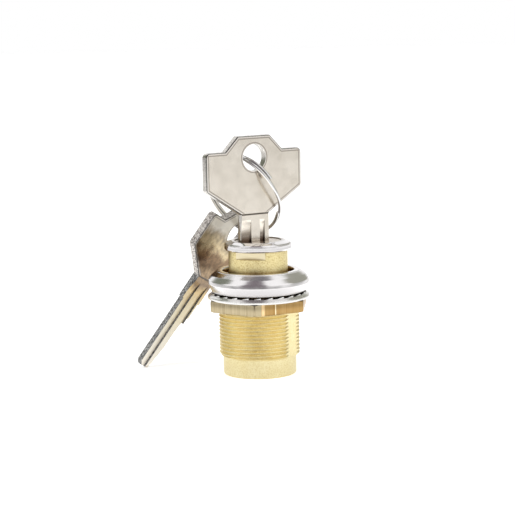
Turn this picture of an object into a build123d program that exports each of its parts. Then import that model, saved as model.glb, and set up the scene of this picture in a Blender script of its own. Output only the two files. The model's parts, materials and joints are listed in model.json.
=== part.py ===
from build123d import *
import math
import os

# Key-operated push lock for a cabinet door, with its key in, a split ring and a spare key.
# Millimetres. The origin is on the lock's axis, in the plane of the flange's underside,
# where the door's outer face sits. +Z runs out of the door, towards the key.
# The lock is open: the key is turned, the plunger has sprung out and the bolt is drawn in.

# Barrel
thread_d = 22.0
thread_pitch = 1.0
thread_depth = 0.56
flats_width = 20.6
flats_turn = -30.0
barrel_depth = 22.8
tail_d = 19.9
tail_length = 5.1
tail_edge = 0.5
rear_wall = 1.4
head_height = 3.0

# Bezel ring
bezel_foot_d = 25.5
bezel_wide_d = 27.6
bezel_wide_z = 2.3
bezel_crown_d = 25.3
bezel_crown_z = 4.4
bezel_lip_d = 22.4
bezel_lip_edge = 0.3
bezel_height = 5.8
bezel_mouth_d = 19.4

# Lock washer and nut
washer_d = 27.7
washer_thick = 0.75
washer_rise = 1.3
washer_rim = 0.8
washer_depth = 1.9
washer_bore_d = 25.0
tooth_count = 25
tooth_bore_d = 22.6
tooth_reach_d = 25.9
tooth_width = 1.9
tooth_thick = 0.45
tooth_twist = 20.0
tooth_turn = -91.8
nut_flats = 25.0
nut_height = 3.0
nut_face_d = 28.0
nut_bevel = 0.3
nut_turn = -4.8
nut_gap = 0.02

# Plunger and its face cap
plunger_d = 16.1
slide_gap = 0.05
stroke = 7.0
spring_solid = 1.6
plunger_floor = 1.2
notch_depth = 1.2
notch_height = 2.0
notch_turn = -107.0
cap_d = 18.3
cap_height = 2.5
cap_plate = 0.9
cap_round = 1.1
cap_bead = 0.12
cap_proud = 1.0
cap_hole_d = 12.6

# Guide pin
guide_d = 2.0
guide_z = -3.4
guide_turn = 60.0
guide_bite = 1.0
guide_sunk = 0.7

# Bolt and return spring
bolt_d = 6.0
bolt_inset = 0.5
bolt_nose = 0.8
spigot_d = 3.6
wire_return = 0.5
coil_return_d = 11.0
turns_return = 3.0
runs_per_turn = 16

# Core
core_d = 12.4
core_gap = 0.05
core_flange_d = 13.8
core_flange = 0.8
core_sunk = 0.2
keyway_web = 0.85
keyway_end_gap = 0.1
key_turn = 32.0
key_offset = 1.3

# Latch and its drive pin
latch_thick = 1.9
latch_width = 6.0
latch_gap = 0.05
latch_travel = 1.3
latch_turn = 240.0
latch_tail = 5.2
latch_bevel = 0.7
drive_pin_d = 1.8
drive_lead = 135.0
yoke_gap = 0.1
pocket_gap = 0.15
channel_end = 7.2
latch_spring_d = 1.5
latch_spring_wire = 0.3
latch_spring_bore = 2.1

# Wafers
wafer_count = 6
wafer_pitch = 2.8
wafer_thick = 1.0
wafer_width = 5.9
wafer_gap = 0.05
wafer_inset = 0.1
wafer_travel = 0.9
wafer_window = 2.4
wafer_lug = 1.4
wafer_lug_u = 0.9
lug_start = -1.5
pocket_end = 3.0
wafer_spring_d = 0.95
wafer_spring_wall = 0.2
first_cut = 5.8

# Keys
neck_length = 7.4
neck_width = 8.5
blade_width = 7.3
blade_thick = 2.1
bow_thick = 2.3
bow_width = 30.0
bow_height = 21.2
bow_crown_width = 10.1
bow_shoulder = 17.2
bow_shoulder_width = 17.9
bow_side_low = 6.9
bow_corner = 1.3
bow_edge = 0.25
hole_d = 7.3
hole_height = 15.3
keyway_gap = 0.1
groove_depth = 0.6
groove_runout = 22.0
groove_full = 6.6
groove_a = (-4.25, -1.3)
groove_b = (1.36, 2.96)
groove_c = (-0.6, 0.8)
cut_first = 3.0
cut_step = 0.5
cut_flat = 0.75
cut_tip_drop = 0.45
tip_bevel = 1.2

# Split ring, and how the two keys hang on it. A hang is an angle round the ring, the
# distance from the rim of the key's hole to the wire's middle line, and how far the hole's
# middle stands before the ring. A larger ring tilts further, so that it stays over the cap.
# The spare key's lean brings its tip to the table.
ring_d = 23.28
ring_wire = 1.0
ring_gap = 0.02
ring_step = 25.0
ring_yaw = 37.5
ring_tilt = 23.1
ring_over_cap = 1.577
main_hang = (61.18, 2.613, -0.723)
spare_hang = (-119.18, 1.006, 0.632)
spare_yaw = 61.9
spare_lean = 23.0
spare_roll = 27.6

# Heights and radii that follow
barrel_low = -barrel_depth
bore_low = barrel_low + rear_wall
plunger_low = bore_low + stroke + spring_solid
channel_low = plunger_low + plunger_floor
channel_high = channel_low + latch_thick + 2 * latch_gap
core_low = channel_high + core_gap
cap_top = bezel_height + stroke + cap_proud
cap_low = cap_top - cap_height
plunger_high = cap_top - cap_plate
core_high = cap_top - core_sunk
flange_high = plunger_high - core_gap
bow_low = core_high + neck_length
blade_length = core_high - core_low - keyway_web - keyway_end_gap
bolt_tip = barrel_low + bolt_inset
thread_r = thread_d / 2
thread_root_r = thread_r - thread_depth
tail_r = tail_d / 2
bore_r = plunger_d / 2 + slide_gap
core_bore_r = core_d / 2 + core_gap
wafer_r = core_d / 2 - wafer_inset
drive_offset = latch_travel / math.sqrt(2)
nut_high = -washer_depth - nut_gap
wafer_slot_width = wafer_width + 2 * wafer_gap
hole_at = (
    -key_offset * math.cos(math.radians(key_turn)),
    -key_offset * math.sin(math.radians(key_turn)),
    bow_low + hole_height,
)


def round_bar(diameter, low, high):
    """A cylinder on the axis from one height to another."""
    aligned = (Align.CENTER, Align.CENTER, Align.MIN)
    return Pos(0, 0, low) * Cylinder(diameter / 2, high - low, align=aligned)


def block(x_span, y_span, z_span):
    """A box given by its low and high value on each axis."""
    sizes = [span[1] - span[0] for span in (x_span, y_span, z_span)]
    corner = Pos(x_span[0], y_span[0], z_span[0])
    return corner * Box(*sizes, align=(Align.MIN, Align.MIN, Align.MIN))


def turned(outline):
    """A solid turned about the axis from (radius, height) points."""
    return revolve(Plane.XZ * Polygon(*outline, align=None), Axis.Z)


def swung(angle, shape):
    """The shape turned about the lock's axis."""
    return Rot(0, 0, angle) * shape


def thread_rings(low, high):
    """Outline of the thread as level rings, one for each turn, with its plain neck on top."""
    turns = int((high - low) / thread_pitch)
    neck = low + thread_pitch * turns
    outline = []
    for turn in range(turns):
        root = low + thread_pitch * turn
        outline += [(thread_root_r, root), (thread_r, root + thread_pitch / 2)]
    return outline + [(thread_root_r, neck), (thread_r, (neck + high) / 2)]


def barrel():
    """Threaded brass barrel with two flats, a plain tail and a bored inside."""
    shoulder = barrel_low + tail_length
    body = turned(
        [
            (0, barrel_low),
            (tail_r - tail_edge, barrel_low),
            (tail_r, barrel_low + tail_edge),
            (tail_r, shoulder),
            *thread_rings(shoulder, 0),
            (thread_r, head_height),
            (0, head_height),
        ]
    )
    beyond = thread_r + 1
    for side in (0, 180):
        flat = block((flats_width / 2, beyond), (-beyond, beyond), (barrel_low, 0))
        body -= swung(flats_turn + side, flat)
    body -= round_bar(2 * bore_r, bore_low, head_height)
    body -= round_bar(bolt_d + 2 * slide_gap, barrel_low, bore_low)
    body -= swung(guide_turn, Pos(0, 0, guide_z) * guide_blank(beyond))
    reach = plunger_d / 2 + latch_travel
    half = latch_width / 2 + pocket_gap
    for drop in (0, stroke):
        heights = (channel_low - pocket_gap - drop, channel_high + pocket_gap - drop)
        pocket = block((0, reach), (-half, half), heights) & round_bar(2 * reach, *heights)
        body -= swung(latch_turn, pocket)
    return body


def guide_blank(length):
    """The guide pin's round stock, lying along +X from the origin."""
    aligned = (Align.CENTER, Align.CENTER, Align.MIN)
    return Rot(0, 90, 0) * Cylinder(guide_d / 2, length, align=aligned)


def guide_pin():
    """Pin pressed through the barrel wall, whose end runs in the plunger's groove."""
    inner = plunger_d / 2 - guide_bite
    outer = thread_r - guide_sunk
    return swung(guide_turn, Pos(inner, 0, guide_z) * guide_blank(outer - inner))


def bezel_ring():
    """Chromed front ring, pressed on the barrel's head, with a bevelled and bellied front."""
    foot = bezel_foot_d / 2
    wide = bezel_wide_d / 2
    lip = bezel_lip_d / 2
    mouth = bezel_mouth_d / 2
    top = bezel_height - bezel_lip_edge
    shell = Polyline(
        (lip, top),
        (lip - bezel_lip_edge, bezel_height),
        (mouth + bezel_lip_edge, bezel_height),
        (mouth, top),
        (mouth, head_height),
        (thread_r, head_height),
        (thread_r, 0),
        (foot, 0),
        (wide, bezel_wide_z),
    )
    belly = ThreePointArc((wide, bezel_wide_z), (bezel_crown_d / 2, bezel_crown_z), (lip, top))
    return revolve(Plane.XZ * make_face(shell + belly), Axis.Z)


def lock_washer():
    """Dished lock washer with twisted teeth on its inside that bite under the flange."""
    bore = washer_bore_d / 2
    rim = washer_d / 2
    low = -washer_depth
    ring = turned(
        [
            (bore, low),
            (rim, low),
            (rim, low + washer_thick),
            (rim - washer_rim, low + washer_rise),
            (bore, low + washer_rise),
        ]
    )
    reach = (tooth_bore_d / 2, tooth_reach_d / 2)
    half_width = tooth_width / 2
    half_thick = tooth_thick / 2
    twist = math.radians(tooth_twist)
    rise = half_width * math.sin(twist) + half_thick * math.cos(twist)
    blade = block(reach, (-half_width, half_width), (-half_thick, half_thick))
    tooth = Pos(0, 0, -rise - slide_gap) * (Rot(tooth_twist, 0, 0) * blade)
    step = 360.0 / tooth_count
    return ring + [swung(tooth_turn + step * i, tooth) for i in range(tooth_count)]


def hex_nut():
    """Thin hexagon nut, bevelled on both faces."""
    low = nut_high - nut_height
    corner = nut_flats / math.sqrt(3)
    hexagon = RegularPolygon(corner, 6, rotation=30 + nut_turn)
    body = Pos(0, 0, low) * extrude(hexagon, nut_height)
    face = nut_face_d / 2
    bevel = turned(
        [
            (0, low),
            (face, low),
            (corner, low + nut_bevel),
            (corner, nut_high - nut_bevel),
            (face, nut_high),
            (0, nut_high),
        ]
    )
    return (body & bevel) - round_bar(thread_d + 2 * slide_gap, low, nut_high)


def plunger():
    """Sleeve that carries the core and the latch and slides in the barrel."""
    body = round_bar(plunger_d, plunger_low, plunger_high)
    body -= round_bar(2 * core_bore_r, channel_high, plunger_high)
    seat_low = flange_high - core_flange - core_gap
    body -= round_bar(core_flange_d + 2 * core_gap, seat_low, plunger_high)
    body -= round_bar(spigot_d, plunger_low, channel_low)
    half = latch_width / 2 + latch_gap
    channel = block((-channel_end, plunger_d), (-half, half), (channel_low, channel_high))
    body -= swung(latch_turn, channel)
    flat_r = plunger_d / 2 - notch_depth
    notch = block((flat_r, plunger_d), (-plunger_d, plunger_d), (cap_low - notch_height, cap_low))
    body -= swung(notch_turn, notch)
    body -= swung(guide_turn, guide_groove())
    for quarter in (0, 90):
        body -= swung(key_turn + quarter, wafer_groove())
    return body


def guide_groove():
    """Groove that the guide pin runs in: its low end stops the plunger from leaving."""
    half = guide_d / 2 + slide_gap
    bottom = plunger_d / 2 - guide_bite - slide_gap
    heights = (guide_z - half, guide_z + stroke + half)
    return block((bottom, plunger_d), (-half, half), heights)


def wafer_groove():
    """Broached groove in the plunger's bore that takes the wafers when the key is out."""
    half = wafer_width / 2 + 2 * wafer_gap
    reach = wafer_r + wafer_travel + wafer_gap
    low = wafer_z(wafer_count - 1) - wafer_thick
    high = wafer_z(0) + wafer_thick
    return block((-reach, 0), (-half, half), (low, high)) & round_bar(2 * reach, low, high)


def face_cap():
    """Chromed cap pressed over the plunger's end; it holds the core's flange down."""
    rim = cap_d / 2
    bead = cap_top - cap_round - cap_bead
    skirt = plunger_d / 2
    hole = cap_hole_d / 2
    shell = Polyline(
        (rim - cap_round, cap_top),
        (hole, cap_top),
        (hole, plunger_high),
        (skirt, plunger_high),
        (skirt, cap_low),
        (rim, cap_low),
        (rim, bead - cap_bead),
        (rim - cap_bead, bead),
        (rim, cap_top - cap_round),
    )
    shoulder = RadiusArc((rim, cap_top - cap_round), (rim - cap_round, cap_top), -cap_round)
    return revolve(Plane.XZ * make_face(shell + shoulder), Axis.Z)


def bolt_pin():
    """Round bolt with a spigot pressed into the plunger's floor."""
    radius = bolt_d / 2
    return turned(
        [
            (0, bolt_tip),
            (radius - bolt_nose, bolt_tip),
            (radius, bolt_tip + bolt_nose),
            (radius, plunger_low),
            (spigot_d / 2, plunger_low),
            (spigot_d / 2, channel_low - latch_gap),
            (0, channel_low - latch_gap),
        ]
    )


def coil(radius, wire, turns, low, high):
    """A coil spring along the axis between two heights, wound in short straight runs."""
    rise = high - low - wire
    runs = round(turns * runs_per_turn)
    points = []
    for k in range(runs + 1):
        turn = 2 * math.pi * turns * k / runs
        level = low + wire / 2 + rise * k / runs
        points.append((radius * math.cos(turn), radius * math.sin(turn), level))
    path = Polyline(*points)
    start = Plane(origin=path @ 0, z_dir=path % 0)
    return sweep(start * Circle(wire / 2), path=path, transition=Transition.RIGHT)


def return_spring():
    """Spring between the barrel's rear wall and the plunger."""
    gap = slide_gap
    return coil(coil_return_d / 2, wire_return, turns_return, bore_low + gap, plunger_low - gap)


def wafer_z(index):
    """Height of a wafer's middle, counted from the front."""
    return core_high - first_cut - wafer_pitch * index


def cut_edge(index):
    """How far the key's edge stands from the blade's middle line at a wafer."""
    return cut_first - cut_step * index


def keyway():
    """The key's section with its clearance, as a tool as long as the blade."""
    half = blade_width / 2 + keyway_gap
    side = blade_thick / 2 + keyway_gap
    ward = blade_thick / 2 - groove_depth + keyway_gap
    heights = (core_low + keyway_web, core_high)
    slot = block((-half, half), (-side, side), heights)
    slot -= block((-half, groove_a[1] - keyway_gap), (-side, -ward), heights)
    slot -= block((groove_b[0] + keyway_gap, groove_b[1] - keyway_gap), (-side, -ward), heights)
    slot -= block((groove_c[0] + keyway_gap, groove_c[1] - keyway_gap), (ward, side), heights)
    return Pos(-key_offset, 0, 0) * slot


def core():
    """Turning core with the keyway, the wafer slots, their spring pockets and the drive pin."""
    body = round_bar(core_d, core_low, core_high)
    body += round_bar(core_flange_d, flange_high - core_flange, flange_high)
    body -= keyway()
    half_slot = wafer_thick / 2 + wafer_gap
    half_width = wafer_slot_width / 2
    lug_side = wafer_width / 2 + wafer_lug + 2 * wafer_gap
    lug_low = lug_start - wafer_travel - 2 * wafer_gap
    for i in range(wafer_count):
        heights = (wafer_z(i) - half_slot, wafer_z(i) + half_slot)
        body -= block((-core_d, core_d), (-half_width, half_width), heights)
        body -= block((lug_low, pocket_end), (0, lug_side), heights)
    pin = round_bar(drive_pin_d, channel_low + latch_gap, core_low)
    body = swung(key_turn, body)
    return body + swung(latch_turn - drive_lead, Pos(drive_offset, 0, 0) * pin)


def wafer(index):
    """Flat wafer with the window that the key's edge fills at this height."""
    low = wafer_z(index) - wafer_thick / 2
    high = low + wafer_thick
    half = wafer_width / 2
    plate = block((-core_d, core_d), (-half, half), (low, high)) & round_bar(2 * wafer_r, low, high)
    plate += block((lug_start, lug_start + wafer_lug_u), (0, half + wafer_lug), (low, high))
    spine = -key_offset - blade_width / 2 - 3 * wafer_gap
    edge = cut_edge(index) - key_offset + wafer_gap
    opening = block((spine, edge), (-wafer_window / 2, wafer_window / 2), (low, high))
    return swung(key_turn, plate - opening)


def wafer_springs():
    """The small springs that push each wafer by its lug, drawn as their outer sleeves."""
    start = lug_start + wafer_lug_u
    length = pocket_end - start
    side = (wafer_width + wafer_lug) / 2 + wafer_gap
    aligned = (Align.CENTER, Align.CENTER, Align.MIN)
    sleeve = Cylinder(wafer_spring_d / 2, length, align=aligned)
    sleeve -= Cylinder(wafer_spring_d / 2 - wafer_spring_wall, length, align=aligned)
    lying = Rot(0, 90, 0) * sleeve
    return Compound([swung(key_turn, Pos(start, side, wafer_z(i)) * lying) for i in range(wafer_count)])


def latch_pawl():
    """Sliding latch: its nose enters the barrel's pockets, its slot is moved by the drive pin."""
    low = channel_low + latch_gap
    high = low + latch_thick
    half = latch_width / 2
    nose_r = plunger_d / 2 - 2 * latch_gap
    plate = block((-latch_tail, plunger_d), (-half, half), (low, high))
    plate &= round_bar(2 * nose_r, low, high)
    outer = nose_r + latch_bevel
    ramp = turned([(nose_r - latch_bevel, low), (outer, low), (outer, low + 2 * latch_bevel)])
    plate -= ramp & block((0, plunger_d), (-plunger_d, plunger_d), (low, high))
    centre = -drive_offset * math.cos(math.radians(drive_lead - 90))
    reach = drive_pin_d / 2 + yoke_gap
    u_span = (centre - reach, centre + reach + latch_travel)
    v_span = (-drive_offset - reach - yoke_gap, centre + reach + yoke_gap)
    plate -= block(u_span, v_span, (low, high))
    plate -= latch_spring_hole()
    return swung(latch_turn, plate)


def latch_spring_hole():
    """Blind hole in the latch's tail that holds its spring."""
    middle = channel_low + latch_gap + latch_thick / 2
    aligned = (Align.CENTER, Align.CENTER, Align.MIN)
    drill = Cylinder(latch_spring_d / 2 + latch_gap, latch_spring_bore, align=aligned)
    return Pos(-latch_tail, 0, middle) * (Rot(0, 90, 0) * drill)


def latch_spring():
    """Spring behind the latch, drawn as its outer sleeve."""
    middle = channel_low + latch_gap + latch_thick / 2
    length = channel_end - latch_tail + latch_spring_bore - 2 * latch_gap
    aligned = (Align.CENTER, Align.CENTER, Align.MIN)
    sleeve = Cylinder(latch_spring_d / 2, length, align=aligned)
    sleeve -= Cylinder(latch_spring_d / 2 - latch_spring_wire, length, align=aligned)
    lying = Pos(-channel_end + latch_gap, 0, middle) * (Rot(0, 90, 0) * sleeve)
    return swung(latch_turn, lying)


def bow_outline():
    """Outline of the key's grip as a face in the XZ plane, with its corners rounded."""
    right = [
        (neck_width / 2, 0),
        (bow_width / 2, bow_side_low),
        (bow_width / 2, bow_shoulder),
        (bow_shoulder_width / 2, bow_shoulder),
        (bow_crown_width / 2, bow_height),
    ]
    left = [(-x, z) for x, z in reversed(right)]
    face = Polygon(*right, *left, align=None)
    outer = [v for v in face.vertices() if abs(v.X) > bow_width / 2 - bow_edge]
    return Plane.XZ * fillet(outer, bow_corner)


def blade_outline():
    """Side view of the blade: straight spine on the left, cut edge on the right."""
    top = -neck_length
    tip = top - blade_length
    half = blade_width / 2
    tip_edge = cut_edge(wafer_count - 1) - cut_tip_drop
    points = [(-half, top), (-half, tip + tip_bevel), (-half + tip_bevel, tip), (tip_edge - tip_bevel / 2, tip)]
    points.append((tip_edge, tip + tip_bevel / 2))
    for i in reversed(range(wafer_count)):
        middle = wafer_z(i) - bow_low
        if i == wafer_count - 1:
            points.append((tip_edge, middle - cut_flat - cut_tip_drop))
        points.append((cut_edge(i), middle - cut_flat))
        points.append((cut_edge(i), middle + cut_flat))
    points.append((half, wafer_z(0) - bow_low + cut_flat + half - cut_first))
    points.append((half, top))
    return Plane.XZ * Polygon(*points, align=None)


def groove(span, side):
    """A milled groove along the blade, with the cutter's long run-out on the neck."""
    low = -neck_length - blade_length - tip_bevel
    floor = blade_thick / 2 - groove_depth
    straight = block(span, (floor, blade_thick), (low, -groove_full))
    middle = (span[0] + span[1]) / 2
    wheel = Rot(0, 90, 0) * Cylinder(groove_runout, span[1] - span[0])
    run = Pos(middle, floor + groove_runout, -groove_full) * wheel
    run &= block(span, (floor, blade_thick), (-groove_full, 0))
    tool = straight + run
    return tool if side > 0 else mirror(tool, Plane.XZ)


def key_shape():
    """One key, standing with the middle of its grip's lower edge at the origin."""
    bow = extrude(bow_outline(), bow_thick / 2, both=True)
    bow = chamfer(bow.faces().filter_by(Axis.Y).edges(), bow_edge)
    hole = Pos(0, 0, hole_height) * (Rot(90, 0, 0) * Cylinder(hole_d / 2, 2 * bow_thick))
    half = neck_width / 2
    neck = block((-half, half), (-blade_thick / 2, blade_thick / 2), (-neck_length, bow_edge))
    blade = extrude(blade_outline(), blade_thick / 2, both=True)
    key = (bow - hole) + neck + blade
    key -= groove(groove_a, -1)
    key -= groove(groove_b, -1)
    return key - groove(groove_c, 1)


def main_key(key):
    """The key in the lock, pushed home."""
    return swung(key_turn, Pos(-key_offset, 0, bow_low) * key)


def spare_key(key):
    """The spare key, hanging on the ring and leaning with its tip on the table."""
    place = Pos(*ring_frame().from_local_coords(hang_point(spare_hang)))
    tilt = Rot(0, 0, spare_yaw) * Rot(0, spare_lean, 0) * Rot(spare_roll, 0, 0)
    return place * tilt * Pos(0, 0, -hole_height) * key


def hang_point(hang):
    """Middle of a key's hole in the ring's own frame."""
    angle, rest, before = hang
    out = ring_d / 2 + hole_d / 2 - rest
    return Vector(out, 0, before).rotate(Axis.Z, angle)


def ring_tilted():
    """The ring's tilt from upright, at least as much as keeps its lowest point over the cap."""
    upright = hang_point(main_hang).Y + ring_d / 2
    room = hole_at[2] - cap_top - ring_over_cap
    return math.acos(min(room / upright, math.cos(math.radians(ring_tilt))))


def ring_frame():
    """The ring's own frame: its middle, its first direction and the way it faces."""
    yaw = math.radians(ring_yaw)
    tilt = ring_tilted()
    along = (math.cos(yaw), -math.sin(yaw), 0)
    facing = (-math.sin(yaw) * math.cos(tilt), -math.cos(yaw) * math.cos(tilt), -math.sin(tilt))
    at_hole = Plane(origin=hole_at, x_dir=along, z_dir=facing)
    centre = at_hole.from_local_coords(-hang_point(main_hang))
    return Plane(origin=centre, x_dir=along, z_dir=facing)


def split_ring():
    """Two coils of one wire, side by side, with a step of two arcs from the one to the other."""
    radius = ring_d / 2
    level = (ring_wire + ring_gap) / 2
    arc = 360 - 2 * ring_step
    first = Pos(0, 0, -level) * CenterArc((0, 0, 0), radius, ring_step, arc)
    second = Pos(0, 0, level) * CenterArc((0, 0, 0), radius, ring_step, arc)
    middle = (math.hypot(radius, level), 0, 0)
    leaving = TangentArc(first @ 1, middle, tangent=first % 1)
    arriving = TangentArc(middle, second @ 0, tangent=leaving % 1)
    path = Wire([first, leaving, arriving, second])
    start = Plane(origin=path @ 0, z_dir=path % 0)
    return sweep(start * Circle(ring_wire / 2), path=path)


def key_ring():
    """The split ring where it hangs in the key's hole."""
    return ring_frame() * split_ring()


def pieces():
    """Every separate piece by its name."""
    key = key_shape()
    made = {
        "barrel": barrel(),
        "guide_pin": guide_pin(),
        "bezel_ring": bezel_ring(),
        "lock_washer": lock_washer(),
        "hex_nut": hex_nut(),
        "plunger": plunger(),
        "face_cap": face_cap(),
        "bolt_pin": bolt_pin(),
        "return_spring": return_spring(),
        "core": core(),
        "wafer_springs": wafer_springs(),
        "latch_pawl": latch_pawl(),
        "latch_spring": latch_spring(),
        "main_key": main_key(key),
        "spare_key": spare_key(key),
        "key_ring": key_ring(),
    }
    for i in range(wafer_count):
        made[f"wafer_{i + 1}"] = wafer(i)
    return made


os.makedirs("parts", exist_ok=True)
for name, shape in pieces().items():
    export_step(shape, f"parts/{name}.step")
    print(name, round(shape.volume, 2))
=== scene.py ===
# %% [markdown]
# # A cabinet lock with its keys
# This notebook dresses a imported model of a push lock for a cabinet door. The model already has every piece at its
# real size and in its place. Here each visible piece gets its finish, and the turned, threaded and dished pieces get
# finer meshes than a construction model carries. Nothing is moved: a new piece is made where the old one is.

# %% Load the frame
import json
import math

import bmesh
import bpy
from mathutils import Euler, Matrix, Vector

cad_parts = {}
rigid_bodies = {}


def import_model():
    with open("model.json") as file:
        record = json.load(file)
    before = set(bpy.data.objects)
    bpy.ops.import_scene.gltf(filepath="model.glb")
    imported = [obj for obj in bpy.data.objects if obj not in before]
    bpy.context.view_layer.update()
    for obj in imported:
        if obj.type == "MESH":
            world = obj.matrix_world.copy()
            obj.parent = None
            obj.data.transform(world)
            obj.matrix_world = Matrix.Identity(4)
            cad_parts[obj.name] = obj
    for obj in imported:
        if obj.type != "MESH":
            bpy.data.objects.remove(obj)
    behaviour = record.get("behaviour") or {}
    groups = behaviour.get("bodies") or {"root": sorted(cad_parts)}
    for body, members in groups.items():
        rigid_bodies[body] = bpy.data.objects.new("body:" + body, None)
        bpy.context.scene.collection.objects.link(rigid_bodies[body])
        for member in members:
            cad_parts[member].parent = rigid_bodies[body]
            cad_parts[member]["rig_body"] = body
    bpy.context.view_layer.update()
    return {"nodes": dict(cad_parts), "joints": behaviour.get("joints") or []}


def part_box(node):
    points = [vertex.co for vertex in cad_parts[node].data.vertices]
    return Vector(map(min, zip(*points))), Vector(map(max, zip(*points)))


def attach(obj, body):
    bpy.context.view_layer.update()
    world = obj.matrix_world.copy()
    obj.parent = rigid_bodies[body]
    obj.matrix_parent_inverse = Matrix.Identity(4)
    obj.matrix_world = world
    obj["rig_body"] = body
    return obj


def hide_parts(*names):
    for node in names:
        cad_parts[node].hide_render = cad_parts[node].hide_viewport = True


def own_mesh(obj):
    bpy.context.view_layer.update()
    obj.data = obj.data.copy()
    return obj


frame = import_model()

nodes = frame["nodes"]
joints = {joint["name"]: joint for joint in frame["joints"]}

# %% [markdown]
# ## Camera
# The lock is seen from a little above, from half a metre away, with a long lens. The picture leans by about one
# degree, so the camera is rolled by that much. A long lens far away keeps the round pieces from looking stretched.
# Blender keeps an object apart from its data, so a small helper joins the two and puts the object in the scene.

# %% Camera
MM = 0.001
CAMERA_PLACE = Vector((-0.15, -477.0, 79.1)) * MM
CAMERA_DOWN = math.radians(8.37)
CAMERA_ROLL = math.radians(1.1)
CAMERA_LENS = 124.0
CAMERA_SENSOR = 36.0
NEAREST_SEEN = 0.01


def in_scene(name, data):
    """Makes an object from its data and puts it in the scene."""
    made = bpy.data.objects.new(name, data)
    bpy.context.scene.collection.objects.link(made)
    return made


camera_data = bpy.data.cameras.new("camera")
camera_data.lens = CAMERA_LENS
camera_data.sensor_width = CAMERA_SENSOR
camera_data.clip_start = NEAREST_SEEN
camera = in_scene("camera", camera_data)
camera.matrix_world = (
    Matrix.Translation(CAMERA_PLACE)
    @ Matrix.Rotation(math.pi / 2 - CAMERA_DOWN, 4, "X")
    @ Matrix.Rotation(-CAMERA_ROLL, 4, "Z")
)
bpy.context.scene.camera = camera
bpy.context.scene.view_settings.view_transform = "Standard"
print("camera at", [round(v, 3) for v in camera.location])

# %% [markdown]
# ## Helpers for shader nodes
# A material is a small network of nodes. These helpers add a node, set its values and join its sockets in one line,
# which keeps each finish further down short enough to read.


# %% Node helpers
BLUR = 0.1


def feed(socket, value):
    """Gives an input its value: another socket, a number, a direction or a colour."""
    if isinstance(value, bpy.types.NodeSocket):
        socket.id_data.links.new(value, socket)
    else:
        socket.default_value = (*value, 1) if socket.type == "RGBA" else value


def add(tree, kind, inputs=(), **settings):
    """Adds one shader node, sets its settings and feeds its inputs."""
    node = tree.nodes.new(kind)
    for key, value in settings.items():
        setattr(node, key, value)
    for key, value in dict(inputs).items():
        feed(node.inputs[key], value)
    return node


def maths(tree, operation, *values):
    """Result of one sum on values, each a socket or a number."""
    return add(tree, "ShaderNodeMath", enumerate(values), operation=operation).outputs[0]


def vectors(tree, operation, *values):
    """Result of one sum on directions or places. It is a number, but for MULTIPLY, which gives a vector again."""
    node = add(tree, "ShaderNodeVectorMath", enumerate(values), operation=operation)
    return node.outputs["Vector" if operation == "MULTIPLY" else "Value"]


def coordinates(tree, kind="Object"):
    """Place of each point in the object's own metres, or another kind, such as where it faces."""
    return add(tree, "ShaderNodeTexCoord").outputs[kind]


def ramp(tree, socket, stops):
    """Colour ramp over a value: stops are (place, colour) pairs, a grey may be one number."""
    node = add(tree, "ShaderNodeValToRGB", {"Fac": socket})
    elements = node.color_ramp.elements
    while len(elements) < len(stops):
        elements.new(1.0)
    for element, (place, colour) in zip(elements, stops):
        element.position = place
        element.color = (*colour, 1) if isinstance(colour, tuple) else (colour, colour, colour, 1)
    return node.outputs["Color"]


def span(tree, socket, low, high):
    """Maps a value of 0 to 1 onto low to high."""
    return add(tree, "ShaderNodeMapRange", {"Value": socket, "To Min": low, "To Max": high}).outputs["Result"]


def noise(tree, per_mm, stretch=(1, 1, 1), detail=3.0, seed=0.0):
    """Noise in the object's own millimetres. A small stretch value draws it out along that axis."""
    place = {"Vector": coordinates(tree), "Location": (seed, seed, seed), "Scale": [1000 * s for s in stretch]}
    scaled = add(tree, "ShaderNodeMapping", place).outputs["Vector"]
    grain = {"Vector": scaled, "Scale": per_mm, "Detail": detail}
    return add(tree, "ShaderNodeTexNoise", grain).outputs["Fac"]


def bump(tree, height, depth_mm):
    """Turns a height into small dents of about the given depth."""
    dents = {"Strength": 1.0, "Distance": depth_mm * MM, "Height": height}
    return add(tree, "ShaderNodeBump", dents).outputs["Normal"]


def mixed(tree, factor, first, second, blend="MIX"):
    """Mixes two colours, each a socket or a plain colour, by a factor that is a socket or a number."""
    node = add(tree, "ShaderNodeMix", data_type="RGBA", blend_type=blend)
    for key, kind, value in (("Factor", "VALUE", factor), ("A", "RGBA", first), ("B", "RGBA", second)):
        feed(next(s for s in node.inputs if s.name == key and s.type == kind), value)
    return next(s for s in node.outputs if s.type == "RGBA")


def times(tree, first, second):
    """Product of two values."""
    return maths(tree, "MULTIPLY", first, second)


def shaded_in_corners(tree, colour, reach_mm, dark, open_above=0.8):
    """The colour, with painted shade in corners and grooves narrower than the reach. Places more open than the last
    value keep the colour.
    """
    corner = add(tree, "ShaderNodeAmbientOcclusion", {"Distance": reach_mm * MM}, samples=12)
    tone = ramp(tree, corner.outputs["AO"], [(0.3, dark), (open_above, 1.0)])
    return mixed(tree, 1.0, colour, tone, "MULTIPLY")


def along(tree, direction, start):
    """Distance in mm along a direction from a start point, in the model's own frame."""
    reach = vectors(tree, "DOT_PRODUCT", coordinates(tree), [1000 * d for d in direction])
    return maths(tree, "SUBTRACT", reach, sum(d * s for d, s in zip(direction, start)))


def step(tree, value, low, high):
    """0 below low, 1 above high and an even slope between them. With low above high it falls instead."""
    return add(tree, "ShaderNodeMapRange", {"Value": value, "From Min": low, "From Max": high}).outputs["Result"]


def past(tree, value, level):
    """0 below a level and 1 above it, with a short slope between."""
    return step(tree, value, level - BLUR, level + BLUR)


def size_of(tree, value):
    """The value without its sign."""
    return maths(tree, "ABSOLUTE", value)


def line_at(tree, distance, middle, half):
    """1 on a thin line at a distance, 0 away from it."""
    return step(tree, size_of(tree, maths(tree, "SUBTRACT", distance, middle)), half, 0.5 * half)


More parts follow.
